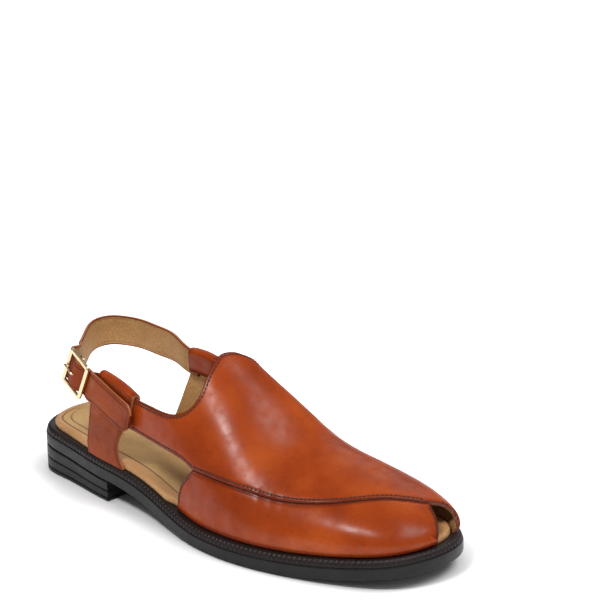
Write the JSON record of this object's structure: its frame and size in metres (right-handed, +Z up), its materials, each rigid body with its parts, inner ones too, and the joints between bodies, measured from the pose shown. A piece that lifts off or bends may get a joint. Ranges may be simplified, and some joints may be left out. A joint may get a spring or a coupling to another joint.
{
  "type": "peshawari chappal",
  "caption": "Right peshawari chappal: peep-toe leather sandal with tongue, crossed vamp and side panel, folded posts, buckled heel strap, ribbed welt and rubber block heel.",
  "frame": {"origin": "middle of the shoe's length and width on the floor", "axes": "+Y from heel to toe, +X to the outer side of the foot, +Z up"},
  "size_m": [0.1082, 0.3, 0.0993],
  "materials": {
    "sole_rubber": "satin black rubber",
    "welt_rubber": "ribbed black rubber",
    "insole_leather": "tan leather",
    "upper_leather": "glossy burnished chestnut leather",
    "buckle_metal": "pale polished gold"
  },
  "bodies": {
    "root": {"heel": "sole_rubber", "outsole": "sole_rubber", "welt": "welt_rubber", "insole": "insole_leather", "upper": "upper_leather", "heel_strap": "upper_leather", "buckle_chape": "upper_leather", "buckle_frame": "buckle_metal", "buckle_prong": "buckle_metal"}
  },
  "joints": []
}
